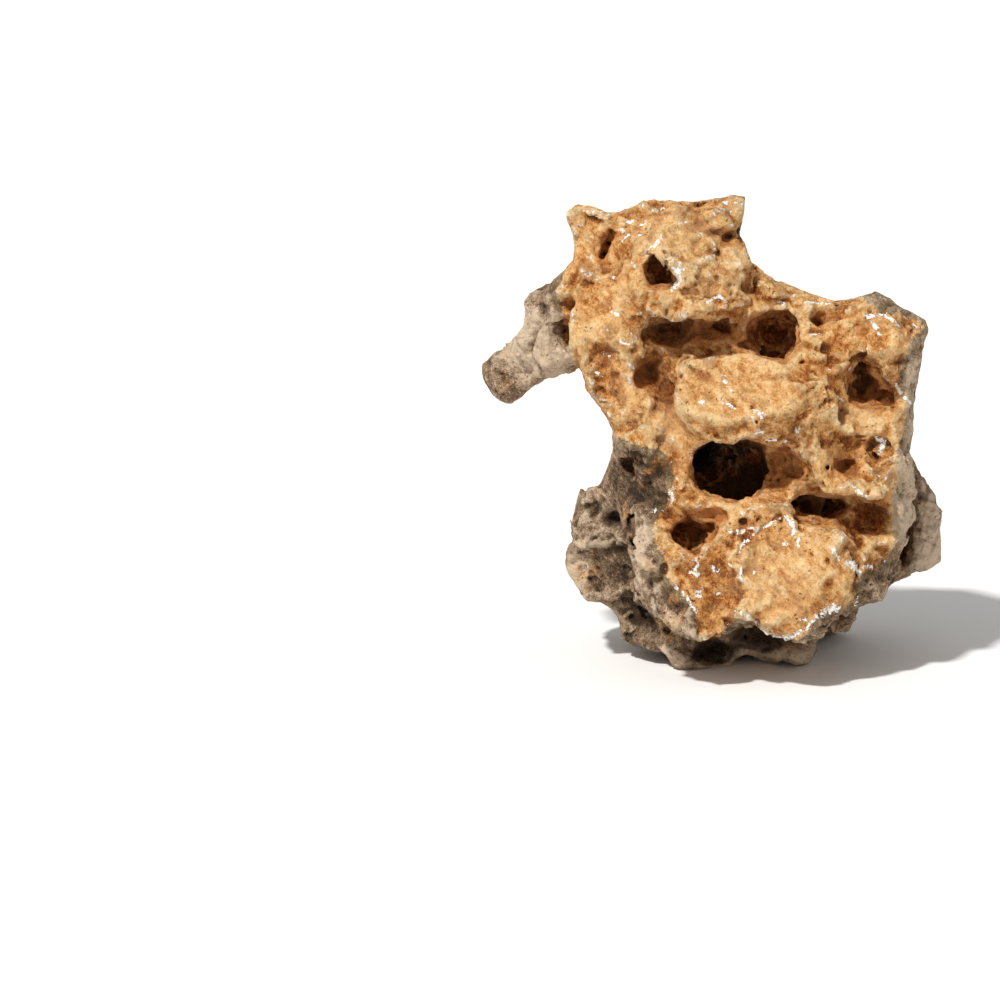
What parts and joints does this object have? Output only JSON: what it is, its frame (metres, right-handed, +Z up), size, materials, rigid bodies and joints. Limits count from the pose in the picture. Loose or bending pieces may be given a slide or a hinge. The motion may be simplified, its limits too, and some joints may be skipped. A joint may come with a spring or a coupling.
{
  "type": "tufa rock",
  "caption": "Porous, weathered natural stone with caves and pits right through it, standing upright on small flat spots; aquarium or garden decoration.",
  "frame": {"origin": "on the ground, under the middle of the stone's bounding box", "axes": "-Y is the front with the large cave, +X is to the right as seen from the front, and +Z is up"},
  "size_m": [0.274, 0.193, 0.2811],
  "materials": {
    "tufa": "rough, pitted, matt"
  },
  "bodies": {
    "root": {"tufa_rock": "tufa"}
  },
  "joints": []
}
